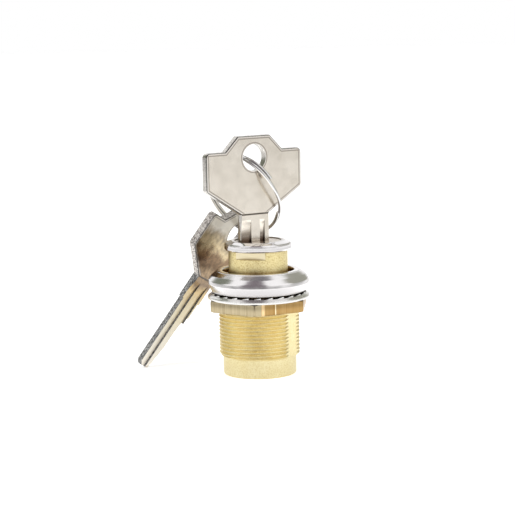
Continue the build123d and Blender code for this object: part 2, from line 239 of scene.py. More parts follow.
def wire(shader, **inputs):
    """Feeds a shader's inputs by name: Base_Color stands for Base Color."""
    for key, value in inputs.items():
        feed(shader.inputs[key.replace("_", " ")], value)


def started(name):
    """Starts a material: returns it with its tree and its shader."""
    material = bpy.data.materials.new(name)
    material.use_nodes = True
    tree = material.node_tree
    return material, tree, tree.nodes["Principled BSDF"]


def metal(name):
    """Starts a metal in the same way."""
    material, tree, shader = started(name)
    wire(shader, Metallic=1.0)
    return material, tree, shader


# %% [markdown]
# ## Brass
# Three brass finishes are on this lock. The barrel is bright and turned, so it has fine rings round it. The nut is
# milled, so its grain runs up and down. The plunger chattered in the lathe and looks speckled. A metal has no colour
# of its own besides its tint, so most of the look comes from roughness and from these small marks. Shade in the
# corners and in the gap above the nut is painted, and one face of the nut has a painted reflection and highlight.


# %% Brass finishes
UPWARD = (0.0, 0.0, 1.0)
ORIGIN = (0.0, 0.0, 0.0)
WHITE = (1.0, 1.0, 1.0)
GAP_SHADE_LEVEL = -1.9
GAP_SHADE_TINT = (0.26, 0.20, 0.11)
THREAD_ROOT_SHADE = (0.98, 0.90, 0.72)


def brass_turned():
    """Bright turned brass with fine rings round the axis, painted shade in the thread's roots and a dark band of
    painted shade in the gap above the nut.
    """
    material, tree, shader = metal("brass_turned")
    rings = noise(tree, 5.0, (0.05, 0.05, 1.0))
    cloud = noise(tree, 0.35, seed=3.0)
    tint = ramp(tree, cloud, [(0.3, (0.92, 0.80, 0.46)), (0.7, (0.97, 0.87, 0.54))])
    specks = ramp(tree, noise(tree, 3.0, detail=5.0, seed=9.0), [(0.35, (0.88, 0.84, 0.72)), (0.6, WHITE)])
    tint = mixed(tree, 1.0, tint, specks, "MULTIPLY")
    # Painted shade: the brass above the nut is painted dark brown to stand for the shade in the gap there.
    gap_shaded = past(tree, along(tree, UPWARD, ORIGIN), GAP_SHADE_LEVEL)
    tint = mixed(tree, gap_shaded, tint, GAP_SHADE_TINT)
    # Painted shade: the ambient occlusion node darkens the thread's roots and other corners.
    wire(
        shader,
        Base_Color=shaded_in_corners(tree, tint, 0.6, THREAD_ROOT_SHADE),
        Roughness=span(tree, rings, 0.34, 0.5),
        Normal=bump(tree, rings, 0.01),
    )
    return material


NUT_GREY_FACE_SIDE = (-0.571, -0.821, 0.0)
NUT_GREY_FACE_EDGE = 10.75
NUT_HIGHLIGHT_INSET = 0.45
NUT_HIGHLIGHT_HALF = 0.5
NUT_BRIGHT_LINE = 7.1
NUT_BRIGHT_HALF = 0.15


def brass_milled():
    """
    Milled brass with grain along the axis. One face is painted greyer, as a painted reflection, and a painted highlight
    stripe runs beside its edge. A thin bright line is painted on the nut as well.
    """
    material, tree, shader = metal("brass_milled")
    grain = noise(tree, 2.2, (1.0, 1.0, 0.03), detail=4.0)
    orange_faces = ramp(tree, grain, [(0.32, (0.37, 0.22, 0.075)), (0.68, (0.49, 0.32, 0.13))])
    greys = [(0.32, (0.37, 0.30, 0.185)), (0.6, (0.51, 0.43, 0.275)), (0.75, (0.41, 0.35, 0.225))]
    # Painted reflection and highlight: one face is painted greyer, and a bright stripe beside its edge is a painted
    # highlight.
    toward_grey_face = along(tree, NUT_GREY_FACE_SIDE, ORIGIN)
    colour = mixed(tree, past(tree, toward_grey_face, NUT_GREY_FACE_EDGE), orange_faces, ramp(tree, grain, greys))
    highlight_stripe = line_at(tree, toward_grey_face, NUT_GREY_FACE_EDGE - NUT_HIGHLIGHT_INSET, NUT_HIGHLIGHT_HALF)
    colour = mixed(tree, highlight_stripe, colour, (0.85, 0.62, 0.33))
    colour = mixed(tree, line_at(tree, toward_grey_face, NUT_BRIGHT_LINE, NUT_BRIGHT_HALF), colour, (0.98, 0.84, 0.56))
    wire(
        shader,
        Base_Color=colour,
        Roughness=span(tree, grain, 0.2, 0.42),
        Normal=bump(tree, grain, 0.02),
    )
    return material


NOTCH_EDGE = 0.02
NOTCH_FACING = (0.985, 0.995)


def brass_speckled(notch_side, notch_from, notch_to):
    """Rough turned brass with chatter marks and painted shade in its corners. The milled notch, given by its side and
    heights, is bright and free of chatter marks and painted shade.
    """
    material, tree, shader = metal("brass_speckled")
    speckle = noise(tree, 2.2, (1.0, 1.0, 1.6), detail=5.0)
    tint = ramp(tree, speckle, [(0.32, (0.60, 0.46, 0.20)), (0.5, (0.86, 0.73, 0.37)), (0.7, (0.95, 0.85, 0.52))])
    # Painted shade in corners, such as under the cap.
    corner_shaded_tint = shaded_in_corners(tree, tint, 1.5, (0.5, 0.4, 0.25))
    faced = step(tree, vectors(tree, "DOT_PRODUCT", coordinates(tree, "Normal"), notch_side), *NOTCH_FACING)
    level = along(tree, UPWARD, ORIGIN)
    above = step(tree, level, notch_from, notch_from + NOTCH_EDGE)
    below = step(tree, level, notch_to, notch_to - NOTCH_EDGE)
    milled = times(tree, faced, times(tree, above, below))
    wire(
        shader,
        Base_Color=mixed(tree, milled, corner_shaded_tint, (0.98, 0.87, 0.60)),
        Roughness=span(tree, speckle, 0.3, 0.5),
        Normal=bump(tree, speckle, 0.04),
    )
    return material


BRASS = brass_turned()
BRASS_NUT = brass_milled()
print("brass finishes:", BRASS.name, BRASS_NUT.name)

# %% [markdown]
# ## Chrome and steel
# The bezel and the cap are chromed and almost a mirror. The washer, the ring and the pins are plated steel, a little
# cloudy. Inside the hole of a chromed piece a darker tint is painted, as painted shade and reflection. A second
# material there would end in a hard line, so one material fades between the two tints with the distance from the axis.


# %% Chrome and steel
CHROME_TINT = (0.80, 0.78, 0.78)
HOLE_EDGE = 0.08


def chrome_polished(name, bore_r, soft, inside, gloss):
    """
    Polished chrome with a trace of orange peel. Inside the bore a darker tint is painted, as painted shade and a
    painted reflection, and it fades out over a soft distance. gloss is the least and the greatest roughness.
    """
    material, tree, shader = metal(name)
    peel = noise(tree, 0.5)
    smear = noise(tree, 1.2, seed=7.0)
    away = vectors(tree, "LENGTH", vectors(tree, "MULTIPLY", coordinates(tree), (1000.0, 1000.0, 0.0)))
    # Painted shade and reflection: the inside tint is painted within the bore and fades out past it.
    outside_bore = step(tree, away, bore_r + soft, bore_r + HOLE_EDGE)
    wire(shader, Base_Color=mixed(tree, outside_bore, CHROME_TINT, inside))
    wire(shader, Roughness=span(tree, smear, *gloss), Normal=bump(tree, peel, 0.02))
    return material


def steel_bright(name, tint, low, high):
    """Plated steel with a little cloudiness in its gloss, and painted shade in its corners."""
    material, tree, shader = metal(name)
    cloud = noise(tree, 1.5)
    wire(
        shader,
        Base_Color=shaded_in_corners(tree, tint, 0.8, (0.12, 0.11, 0.1)),
        Roughness=span(tree, cloud, low, high),
        Normal=bump(tree, cloud, 0.01),
    )
    return material


WASHER_STEEL = steel_bright("washer_zinc", (0.80, 0.79, 0.77), 0.18, 0.34)
RING_STEEL = steel_bright("ring_nickel", (0.78, 0.77, 0.76), 0.08, 0.2)
PIN_STEEL = steel_bright("pin_steel", (0.62, 0.62, 0.62), 0.2, 0.35)
CORE_METAL = steel_bright("core_nickel", (0.45, 0.38, 0.30), 0.16, 0.3)
print("bright finishes:", WASHER_STEEL.name, RING_STEEL.name)

# %% [markdown]
# ## The rim of a key's grip
# The grip has a rolled rim along its outline and round its hole. Its light is painted: a paler band as a painted
# highlight, with a dark line of painted shade beside it, because the rim hardly changes the key's shape. The distance
# to the grip's outline says where they are.


# %% Rim of the grip
GRIP_START = (0.3, 0.5)
GRIP_HOLE_R = 3.65
GRIP_HOLE_HEIGHT = 15.3
GRIP_OUTLINE = [(4.25, 0.0), (15.0, 6.9), (15.0, 17.2), (8.95, 17.2), (5.05, 21.2), (0.0, 21.2)]
RIM_WIDTH = 0.7
RIM_HIGHLIGHT = 0.35
RIM_SHADE_HALF = 0.22
RIM_SHADE = 0.6


def inside_line(tree, across, height, start, end):
    """Distance in mm to the left of a line through two (across, height) points."""
    run, rise = end[0] - start[0], end[1] - start[1]
    length = math.hypot(run, rise)
    offset = (rise * start[0] - run * start[1]) / length
    part = maths(tree, "MULTIPLY_ADD", across, -rise / length, offset)
    return maths(tree, "MULTIPLY_ADD", height, run / length, part)


def inside_grip(tree, across, height):
    """How far a point of the key lies inside the grip's outline, or outside its hole, in mm."""
    edges = [inside_line(tree, across, height, *pair) for pair in zip(GRIP_OUTLINE, GRIP_OUTLINE[1:])]
    foot, side, shoulder, crown, top = edges
    corner = maths(tree, "MAXIMUM", shoulder, crown)
    flat = add(tree, "ShaderNodeCombineXYZ", {"X": across, "Y": height}).outputs[0]
    away = vectors(tree, "DISTANCE", flat, (0.0, GRIP_HOLE_HEIGHT, 0.0))
    least = maths(tree, "SUBTRACT", away, GRIP_HOLE_R - RIM_WIDTH / 2)
    for edge in (foot, side, corner, top):
        least = maths(tree, "MINIMUM", least, edge)
    return least


def painted_rim(tree, colour, face, across, height):
    """The colour with a painted highlight along the grip's rolled rim and a dark line of painted shade beside it."""
    inside = inside_grip(tree, across, height)
    on_grip = times(tree, face, step(tree, height, *GRIP_START))
    # Painted highlight along the rim, then a dark line of painted shade beside it.
    rim_highlight_band = times(tree, on_grip, step(tree, inside, RIM_WIDTH, RIM_WIDTH - BLUR))
    colour = mixed(tree, times(tree, rim_highlight_band, RIM_HIGHLIGHT), colour, (1.0, 0.97, 0.93))
    rim_shade_line = times(tree, on_grip, line_at(tree, inside, RIM_WIDTH, RIM_SHADE_HALF))
    return mixed(tree, times(tree, rim_shade_line, RIM_SHADE), colour, (0.20, 0.16, 0.13))


print("grip outline:", len(GRIP_OUTLINE), "corners, with a rim", RIM_WIDTH, "mm wide")

# %% [markdown]
# ## Stamped keys
# The keys are stamped from sheet and nickel plated. Their faces are satin, and their cut edges are grey and grained,
# because the saw leaves its marks there. The edge finish is picked by the surface's own direction, which stays with
# the key when it turns. The old key carries painted reflections in bands that follow its height, with noise to make
# them wander. Chamfers, corners, grooves and a line at the grip's foot get painted shade.


# %% Key finish
GROOVE_DEPTH = 0.8
GROOVE_SHADE = (0.16, 0.11, 0.08)
GROOVE_SHADE_START = (-4.0, -7.0)
BAND_DRIFT = 9.0
BAND_SPAN = (-32.0, 28.0)
SPOTS_START = (-2.0, 0.0)
SPOTS_END = (16.0, 12.0)
BLADE_START = (0.5, -0.5)
STEP_SHADOW_HEIGHT = 0.05
STEP_SHADOW_HALF = 0.3


def banded_and_spotted(tree, shader, satin, height, reflection_bands):
    """Old plating. Its tints are painted reflections, in bands that follow the key's height and wander a little, and
    the grip has dark spots.
    """
    wander = times(tree, noise(tree, 0.18, seed=5.0), BAND_DRIFT)
    place = step(tree, maths(tree, "ADD", height, wander), *BAND_SPAN)
    wire(shader, Metallic=ramp(tree, place, reflection_bands["metal"]))
    satin = mixed(tree, 1.0, satin, ramp(tree, place, reflection_bands["tints"]), "MULTIPLY")
    spots = ramp(tree, noise(tree, 0.9, detail=6.0, seed=11.0), [(0.35, 0.65), (0.6, 1.0)])
    lower_grip = times(tree, step(tree, height, *SPOTS_START), step(tree, height, *SPOTS_END))
    return mixed(tree, 1.0, satin, mixed(tree, lower_grip, WHITE, spots), "MULTIPLY")


def groove_shaded(tree, satin, depth, height):
    """Good plating, with painted shade only in the grooves of the blade."""
    in_groove = step(tree, depth, GROOVE_DEPTH + BLUR, GROOVE_DEPTH - BLUR)
    return mixed(tree, times(tree, in_groove, step(tree, height, *GROOVE_SHADE_START)), satin, GROOVE_SHADE)


def sawn_edge(tree, height, reflection_bands):
    """The sheet's cut edge. On the old key it is filed round the grip and scraped along the blade."""
    if not reflection_bands:
        return ramp(tree, noise(tree, 4.0, detail=5.0), [(0.35, (0.40, 0.38, 0.35)), (0.65, (0.80, 0.77, 0.73))])
    sawn = noise(tree, 2.6, detail=5.0, seed=2.0)
    filed = ramp(tree, sawn, [(0.38, (0.14, 0.12, 0.11)), (0.6, (0.62, 0.59, 0.55))])
    scraped = ramp(tree, sawn, [(0.4, (0.04, 0.04, 0.04)), (0.6, (0.34, 0.34, 0.33))])
    return mixed(tree, step(tree, height, *BLADE_START), filed, scraped)


def nickel_stamped(name, facing, up, foot, reflection_bands=None):
    """
    Nickel-plated key blank. facing is the key's flat direction, up runs from blade to grip, foot is the grip's
    lowest point in the middle of the sheet. The last argument, given for the old key only, holds its painted
    reflections: tints in bands from tip to grip, and how metallic it is from tip to grip.
    """
    material, tree, shader = metal(name)
    flatness = size_of(tree, vectors(tree, "DOT_PRODUCT", coordinates(tree, "Normal"), facing))
    face = ramp(tree, flatness, [(0.84, 0.0), (0.93, 1.0)])
    # Painted shade: chamfers, which are neither face nor edge, are darkened.
    chamfer_shade = ramp(tree, flatness, [(0.25, 1.0), (0.4, 0.42), (0.84, 0.42), (0.93, 1.0)])
    cloud = noise(tree, 0.25)
    fine = noise(tree, 5.0, detail=5.0)
    height = along(tree, up, foot)
    if reflection_bands:
        corner_shade = (0.5, 0.42, 0.34)
        satin = ramp(tree, cloud, [(0.3, (0.90, 0.86, 0.78)), (0.7, (0.96, 0.93, 0.87))])
        satin = banded_and_spotted(tree, shader, satin, height, reflection_bands)
    else:
        corner_shade = (0.25, 0.21, 0.17)
        satin = ramp(tree, cloud, [(0.3, (0.74, 0.68, 0.59)), (0.7, (0.86, 0.80, 0.71))])
        satin = groove_shaded(tree, satin, size_of(tree, along(tree, facing, foot)), height)
    colour = mixed(tree, face, sawn_edge(tree, height, reflection_bands), satin)
    colour = mixed(tree, 1.0, colour, chamfer_shade, "MULTIPLY")
    # Painted shadow: a dark line across the key's faces at the grip's foot, for the shadow of the step there.
    step_shadow = line_at(tree, height, STEP_SHADOW_HEIGHT, STEP_SHADOW_HALF)
    colour = mixed(tree, times(tree, step_shadow, face), colour, (0.12, 0.10, 0.08))
    sideways = tuple(Vector(facing).cross(Vector(up)))
    colour = painted_rim(tree, colour, face, size_of(tree, along(tree, sideways, foot)), height)
    # Painted shade in the keys' corners and grooves.
    wire(
        shader,
        Base_Color=shaded_in_corners(tree, colour, 1.0, corner_shade, open_above=0.75),
        Roughness=span(tree, fine, 0.16, 0.3),
        Normal=bump(tree, fine, 0.006),
    )
    return material


# %% [markdown]
# ## Turned pieces
# A lathe makes a round piece from its outline. Blender's Screw modifier can do that with one outline. This helper joins
# the outlines at many angles into a closed skin, and the outline may change with the angle, so it makes a hexagon or
# a flat on a round bar as well.


# %% Lathe helpers
WELD = 1e-6
SHARP = math.radians(32)
FILLET_SHARE = 0.48


def at_angle(radius, angle):
    """Where a point at a radius and an angle is, as (x, y)."""
    return radius * math.cos(angle), radius * math.sin(angle)


def spun(x, y, angle):
    """Where the point (x, y) comes to when it turns by an angle."""
    cosine, sine = math.cos(angle), math.sin(angle)
    return x * cosine - y * sine, x * sine + y * cosine


def crease(mesh, sharp):
    """Welds a mesh, turns its faces outward and shades it smooth but for its sharp edges."""
    work = bmesh.new()
    work.from_mesh(mesh)
    bmesh.ops.remove_doubles(work, verts=work.verts, dist=WELD)
    bmesh.ops.recalc_face_normals(work, faces=work.faces)
    for face in work.faces:
        face.smooth = True
    for edge in work.edges:
        edge.smooth = edge.is_manifold and edge.calc_face_angle(0.0) < sharp
    work.to_mesh(mesh)
    work.free()


def finish_mesh(name, vertices, faces, material, sharp=SHARP):
    """Makes an object from points in millimetres, smooth but for its sharp edges."""
    mesh = bpy.data.meshes.new(name)
    mesh.from_pydata([Vector(v) * MM for v in vertices], [], faces)
    crease(mesh, sharp)
    mesh.materials.append(material)
    return in_scene(name, mesh)


def rounded(corners, steps=5):
    """Closed outline of (radius, height, rounding) corners, with each corner rounded by an arc."""
    outline = []
    for k, (r, z, fillet) in enumerate(corners):
        here = Vector((r, z))
        before = Vector(corners[k - 1][:2]) - here
        after = Vector(corners[(k + 1) % len(corners)][:2]) - here
        if fillet == 0:
            outline.append(here)
            continue
        half = before.angle(after) / 2
        reach = min(fillet / math.tan(half), FILLET_SHARE * before.length, FILLET_SHARE * after.length)
        radius = reach * math.tan(half)
        middle = here + (before.normalized() + after.normalized()).normalized() * (radius / math.sin(half))
        start = here + before.normalized() * reach - middle
        end = here + after.normalized() * reach - middle
        turn = start.angle_signed(end)
        for part in range(steps + 1):
            outline.append(middle + Vector(spun(*start, -turn * part / steps)))
    return [tuple(point) for point in outline]


def turned(name, section, steps, material):
    """Round piece about the lock's axis. Its section is closed (radius, height) points, or gives them at an angle."""
    outlines = [section(2 * math.pi * k / steps) if callable(section) else section for k in range(steps)]
    count = len(outlines[0])
    vertices = []
    for k, outline in enumerate(outlines):
        vertices += [(*at_angle(r, 2 * math.pi * k / steps), z) for r, z in outline]
    faces = []
    for k in range(steps):
        here, beside = k * count, ((k + 1) % steps) * count
        for j in range(count):
            up = (j + 1) % count
            faces.append((here + j, beside + j, beside + up, here + up))
    return finish_mesh(name, vertices, faces, material)


def box_mm(node):
    """Lowest and highest corner of a piece of the model, in millimetres."""
    low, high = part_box(node)
    return low / MM, high / MM


def stand_for(piece, node):
    """The piece takes the place of a model node and rides on its body."""
    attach(piece, nodes[node]["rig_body"])
    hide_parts(node)
    print(piece.name, "faces", len(piece.data.polygons) if piece.type == "MESH" else "curve")


# %% [markdown]
# ## Slots and holes
# Some cuts do not run round the axis: the pockets for the latch, the grooves for the wafers, the hole for a pin. They
# are made as in the workshop. A solid with the cutter's shape is taken away from the piece by a Boolean modifier, and
# the result is kept as the piece's new mesh, because the cutter itself is thrown away.


# %% Slot helpers
SLOT_STEPS = 4
HOLE_SIDES = 24


def prism(outline, low, high, turn):
    """Upright solid over an outline of (x, y) points, turned about the lock's axis."""
    count = len(outline)
    points = [(*spun(x, y, turn), z) for z in (low, high) for x, y in outline]
    sides = [(k, (k + 1) % count, count + (k + 1) % count, count + k) for k in range(count)]
    return points, [tuple(reversed(range(count))), tuple(range(count, 2 * count)), *sides]


def round_slot(inner, reach, half, low, high, turn):
    """Straight slot along a radius, whose outer end follows the circle of its reach."""
    bend = math.asin(half / reach)
    end = [at_angle(reach, bend * k / SLOT_STEPS) for k in range(-SLOT_STEPS, SLOT_STEPS + 1)]
    return prism([(inner, half), (inner, -half), *end], low, high, turn)


def square_slot(inner, outer, half, low, high, turn):
    """Straight slot along a radius with square ends."""
    return prism([(inner, half), (inner, -half), (outer, -half), (outer, half)], low, high, turn)


def cross_hole(inner, outer, radius, height, turn):
    """Round hole along a radius at a height."""
    circle = [at_angle(radius, 2 * math.pi * k / HOLE_SIDES) for k in range(HOLE_SIDES)]
    points, faces = prism(circle, inner, outer, 0.0)
    return [(*spun(z, y, turn), height + x) for x, y, z in points], faces


def cut(piece, solids, sharp=SHARP):
    """Takes solids away from a piece and keeps the result as its mesh."""
    vertices, faces = [], []
    for points, sides in solids:
        faces += [tuple(len(vertices) + corner for corner in side) for side in sides]
        vertices += points
    cutter = finish_mesh(piece.name + "_cuts", vertices, faces, piece.data.materials[0])
    taking = piece.modifiers.new("cuts", "BOOLEAN")
    taking.operation = "DIFFERENCE"
    taking.solver = "EXACT"
    taking.object = cutter
    before = len(piece.data.polygons)
    shaped = piece.evaluated_get(bpy.context.evaluated_depsgraph_get())
    piece.data = bpy.data.meshes.new_from_object(shaped)
    piece.modifiers.clear()
    bpy.data.objects.remove(cutter)
    crease(piece.data, sharp)
    print(piece.name, "cut: faces", before, "to", len(piece.data.polygons))


# %% [markdown]
# ## Bezel ring
# The bezel is the ring that shows on the door. It was turned, polished and chromed: a flared foot, a bellied side,
# a rolled lip and a short bore. Its outline is drawn once with a small rounding on every corner, because a real
# polished edge always catches a thin line of light.

# %% Bezel ring
bezel_high = box_mm("bezel_ring")[1]
BEZEL_WIDE = bezel_high.x
BEZEL_TOP = bezel_high.z
BARREL_R = 11.0
BEZEL_MOUTH = 9.7
BEZEL_SEAT = 3.0
BEZEL_SECTION = rounded(
    [
        (BARREL_R, 0.0, 0),
        (BEZEL_WIDE - 1.05, 0.0, 0.15),
        (BEZEL_WIDE, 2.3, 0.35),
        (BEZEL_WIDE - 0.12, 3.35, 0.9),
        (BEZEL_WIDE - 1.0, 4.55, 1.2),
        (BEZEL_WIDE - 2.28, 5.5, 0.4),
        (BEZEL_WIDE - 2.46, 5.54, 0.03),
        (BEZEL_WIDE - 2.44, 5.68, 0.05),
        (BEZEL_WIDE - 2.65, BEZEL_TOP, 0.25),
        (BEZEL_MOUTH + 0.15, BEZEL_TOP, 0.3),
        (BEZEL_MOUTH, BEZEL_TOP - 0.6, 0.2),
        (BEZEL_MOUTH, BEZEL_SEAT, 0),
        (BARREL_R, BEZEL_SEAT, 0),
    ]
)
CHROME_BEZEL = chrome_polished("chrome_bezel", BEZEL_MOUTH, soft=0.12, inside=(0.50, 0.34, 0.15), gloss=(0.13, 0.24))
bezel = turned("bezel_polished", BEZEL_SECTION, 192, CHROME_BEZEL)
stand_for(bezel, "bezel_ring")

# %% [markdown]
# ## Thread
# The barrel has a real thread, 22 mm across with a turn every millimetre. A bump map would not change its outline, so
# the thread is modelled: rows of points follow the helix, and each point's radius comes from the thread's section.
# Two flats are cut by keeping every point behind a plane.

# %% Thread
BARREL_LOW = box_mm("barrel")[0].z
TAIL_LENGTH = 5.1
THREAD_END = BARREL_LOW + TAIL_LENGTH
THREAD_PITCH = 1.0
THREAD_DEPTH = 0.56
FLAT_DISTANCE = 10.3
FLAT_DIRECTION = math.radians(-30)
FLAT_NARROWEST = 0.1
THREAD_WALL = 0.2
THREAD_SEAT = BARREL_R - THREAD_DEPTH - THREAD_WALL
THREAD_ANGLES = 360
THREAD_ROWS = 12
THREAD_CREST = 0.12
THREAD_SLOPE = 0.76
THREAD_BEVEL = 0.75
THREAD_BEVEL_SLOPE = 1.2


def flat_limit(angle):
    """How far out the two flats let the surface come at an angle."""
    away = math.cos(angle - FLAT_DIRECTION)
    return FLAT_DISTANCE / max(abs(away), FLAT_NARROWEST)


def thread_radius(turn):
    """Thread section: a crest with a small flat, two slopes and a rounded root."""
    place = abs((turn % 1.0) * 2 - 1)
    return BARREL_R - THREAD_DEPTH * min(max((place - THREAD_CREST) / THREAD_SLOPE, 0.0), 1.0)


def thread_sleeve():
    """Threaded sleeve whose rows follow the helix and meet themselves one pitch higher. Its inside is plain."""
    lift = THREAD_PITCH / THREAD_ROWS
    start = THREAD_END - THREAD_PITCH
    rows = int(-start / lift) + THREAD_ROWS + 1
    column = rows + 2
    vertices = []
    for k in range(THREAD_ANGLES):
        angle = 2 * math.pi * k / THREAD_ANGLES
        rise = THREAD_PITCH * k / THREAD_ANGLES
        section = []
        for j in range(rows):
            place = min(j, -(start + rise) / lift)
            z = max(start + lift * place + rise, THREAD_END)
            bevel = BARREL_R - THREAD_BEVEL + (z - THREAD_END) * THREAD_BEVEL_SLOPE
            section.append((min(thread_radius(place / THREAD_ROWS), bevel, flat_limit(angle)), z))
        section += [(THREAD_SEAT, 0.0), (THREAD_SEAT, THREAD_END)]
        vertices += [(*at_angle(radius, angle), z) for radius, z in section]
    faces = []
    for k in range(THREAD_ANGLES):
        here, beside = k * column, (k + 1) % THREAD_ANGLES * column
        shift = 0 if beside else THREAD_ROWS
        for j in range(rows - 1 - shift):
            faces.append((here + j, beside + j + shift, beside + j + shift + 1, here + j + 1))
        for j in range(rows - 1, column):
            up = (j + 1) % column
            faces.append((here + j, beside + j, beside + up, here + up))
    return vertices, faces


print("thread turns:", round(-THREAD_END / THREAD_PITCH, 1))

# %% [markdown]
# ## Barrel
# Inside the threaded sleeve is the barrel's body, bored out from the front as far as the rear wall. It has two
# pockets in which the latch holds the plunger, one for each end of its stroke, and a hole for the guide pin. A turned
# outline makes only what goes all the way round, so these are cut.

# %% Barrel
THREAD_SHARP = math.radians(75)
HEAD_GAP = 0.02
TAIL_R = 9.95
BORE_R = 8.1
BOLT_HOLE_R = 3.05
REAR_WALL = 1.4
CUT_MARGIN = 1.0
LATCH_TURN = math.radians(240)
LATCH_POCKET_R = 9.35
LATCH_POCKET_HALF = 3.15
LATCH_POCKET_GAP = 0.2
GUIDE_TURN = math.radians(60)
GUIDE_R = 1.0
BODY_SECTION = rounded(
    [
        (BOLT_HOLE_R, BARREL_LOW, 0.15),
        (TAIL_R, BARREL_LOW, 0.45),
        (TAIL_R, THREAD_END, 0.05),
        (THREAD_SEAT, THREAD_END, 0),
        (THREAD_SEAT, 0.0, 0),
        (BARREL_R - HEAD_GAP, 0.0, 0),
        (BARREL_R - HEAD_GAP, BEZEL_SEAT, 0),
        (BORE_R, BEZEL_SEAT, 0.1),
        (BORE_R, BARREL_LOW + REAR_WALL, 0),
        (BOLT_HOLE_R, BARREL_LOW + REAR_WALL, 0),
    ]
)
barrel_body = turned("barrel_turned", BODY_SECTION, 180, BRASS)
thread = finish_mesh("barrel_thread", *thread_sleeve(), BRASS, THREAD_SHARP)
latch_low, latch_high = box_mm("latch_pawl")
guide_low, guide_high = box_mm("guide_pin")
GUIDE_HEIGHT = (guide_low.z + guide_high.z) / 2
STROKE = joints["plunger_slide"]["range_m"][1] / MM
within = BORE_R - CUT_MARGIN
pockets = [
    round_slot(within, LATCH_POCKET_R, LATCH_POCKET_HALF, low - LATCH_POCKET_GAP, high + LATCH_POCKET_GAP, LATCH_TURN)
    for low, high in ((latch_low.z, latch_high.z), (latch_low.z - STROKE, latch_high.z - STROKE))
]
pin_hole = cross_hole(within, BARREL_R + CUT_MARGIN, GUIDE_R, GUIDE_HEIGHT, GUIDE_TURN)
cut(barrel_body, [*pockets, pin_hole])
cut(thread, [pin_hole], THREAD_SHARP)
stand_for(barrel_body, "barrel")
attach(thread, "housing")

# %% [markdown]
# ## Plunger
# The plunger is the sleeve that springs out when the lock opens. A flat is milled across its front under the cap. The
# outline draws in where the flat is. The channel for the latch, the two grooves for the wafers and the one for the
# guide pin do not go round the axis, so they are cut.

# %% Plunger
plunger_low, plunger_high = box_mm("plunger")
cap_low, cap_high = box_mm("face_cap")
PLUNGER_R = plunger_high.x
PLUNGER_TOP = plunger_high.z
CORE_R = 6.25
FLANGE_R = 6.95
FLANGE_DEPTH = 0.9
FLANGE_SEAT = PLUNGER_TOP - FLANGE_DEPTH
NOTCH_TOP = cap_low.z
NOTCH_HEIGHT = 2.0
NOTCH_DEPTH = 1.2
NOTCH_BLEND = 0.03
NOTCH_DIRECTION = math.radians(-107)
NOTCH_NARROWEST = 0.2
FLOOR_THICKNESS = 3.2
PLUNGER_FLOOR = plunger_low.z + FLOOR_THICKNESS
BOLT_SEAT_R = 3.1
KEY_TURN = math.radians(32)
WAFER_GROOVE_R = 7.05
WAFER_GROOVE_HALF = 3.05
WAFER_GROOVE_GAP = 0.5
WAFER_GROOVE_START = CORE_R - 1.5
LATCH_CHANNEL_END = 7.2
LATCH_CHANNEL_HALF = 3.05
LATCH_GAP = 0.05
GUIDE_GROOVE_R = 7.0
GUIDE_GROOVE_HALF = 1.05


def plunger_outline(angle):
    """The sleeve's section, with the milled notch where the angle reaches it."""
    away = math.cos(angle - NOTCH_DIRECTION)
    limit = min(PLUNGER_R, (PLUNGER_R - NOTCH_DEPTH) / away) if away > NOTCH_NARROWEST else PLUNGER_R
    notch_low = NOTCH_TOP - NOTCH_HEIGHT
    return [
        (CORE_R, PLUNGER_FLOOR),
        (BOLT_SEAT_R, PLUNGER_FLOOR),
        (BOLT_SEAT_R, plunger_low.z),
        (PLUNGER_R, plunger_low.z),
        (PLUNGER_R, notch_low - NOTCH_BLEND),
        (limit, notch_low),
        (limit, NOTCH_TOP),
        (PLUNGER_R, NOTCH_TOP + NOTCH_BLEND),
        (PLUNGER_R, PLUNGER_TOP),
        (FLANGE_R, PLUNGER_TOP),
        (FLANGE_R, FLANGE_SEAT),
        (CORE_R, FLANGE_SEAT),
    ]


notch_side = (*at_angle(1.0, NOTCH_DIRECTION), 0.0)
BRASS_PLUNGER = brass_speckled(notch_side, NOTCH_TOP - NOTCH_HEIGHT, NOTCH_TOP)
sleeve = turned("plunger_sleeve", plunger_outline, 240, BRASS_PLUNGER)
wafers_low = box_mm("wafer_6")[0].z - WAFER_GROOVE_GAP
wafers_high = box_mm("wafer_1")[1].z + WAFER_GROOVE_GAP
wafer_grooves = [
    round_slot(WAFER_GROOVE_START, WAFER_GROOVE_R, WAFER_GROOVE_HALF, wafers_low, wafers_high, KEY_TURN + turn)
    for turn in (math.pi, 1.5 * math.pi)
]
beyond = PLUNGER_R + CUT_MARGIN
latch_channel = square_slot(
    -LATCH_CHANNEL_END,
    beyond,
    LATCH_CHANNEL_HALF,
    latch_low.z - LATCH_GAP,
    latch_high.z + LATCH_GAP,
    LATCH_TURN,
)
guide_groove = square_slot(
    GUIDE_GROOVE_R,
    beyond,
    GUIDE_GROOVE_HALF,
    GUIDE_HEIGHT - GUIDE_GROOVE_HALF,
    GUIDE_HEIGHT + STROKE + GUIDE_GROOVE_HALF,
    GUIDE_TURN,
)
cut(sleeve, [*wafer_grooves, latch_channel, guide_groove])
stand_for(sleeve, "plunger")

# %% [markdown]
# ## Cap
# The cap is thin chromed brass pressed over the plunger's end, and it holds the core down. It could be a plain disc
# with a bevel, but its bead, its rounded shoulder and its flat top each catch the light in another way, so all of them
# are in its outline.

